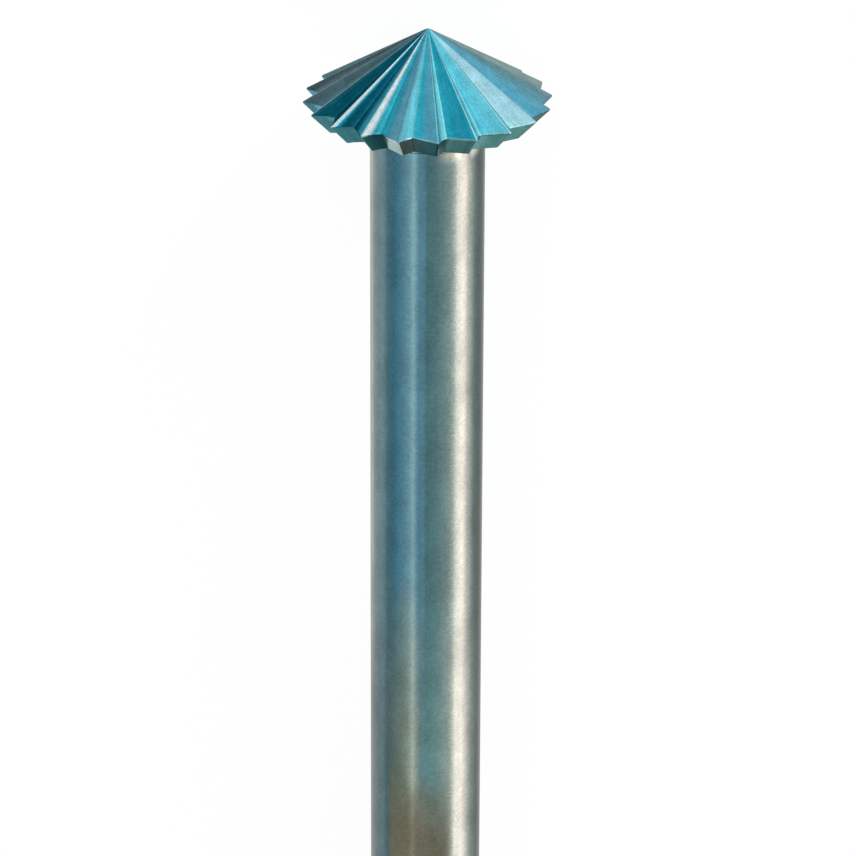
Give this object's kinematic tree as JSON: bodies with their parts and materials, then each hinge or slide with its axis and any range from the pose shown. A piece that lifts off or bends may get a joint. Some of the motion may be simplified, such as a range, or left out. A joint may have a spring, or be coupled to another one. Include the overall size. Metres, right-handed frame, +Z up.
{
  "type": "carbide burr",
  "caption": "Small rotary cutting burr: a pointed, saw-toothed conical carbide head with a short back cone, on a plain round steel shank, lying at rest.",
  "frame": {"origin": "on the table, under the middle of the burr's bounding box, as it lies at rest on two teeth and the edge of its shank's end", "axes": "+X towards the point, level; the burr's own axis rises 1.787 degrees towards +X in the XZ plane; +Z up"},
  "size_m": [0.0444, 0.005, 0.005],
  "materials": {
    "carbide": "ground, blue-green temper colours",
    "steel": "fine ground, tinted blue next to the head"
  },
  "bodies": {
    "root": {"carbide_head": "carbide", "steel_shank": "steel"}
  },
  "joints": []
}
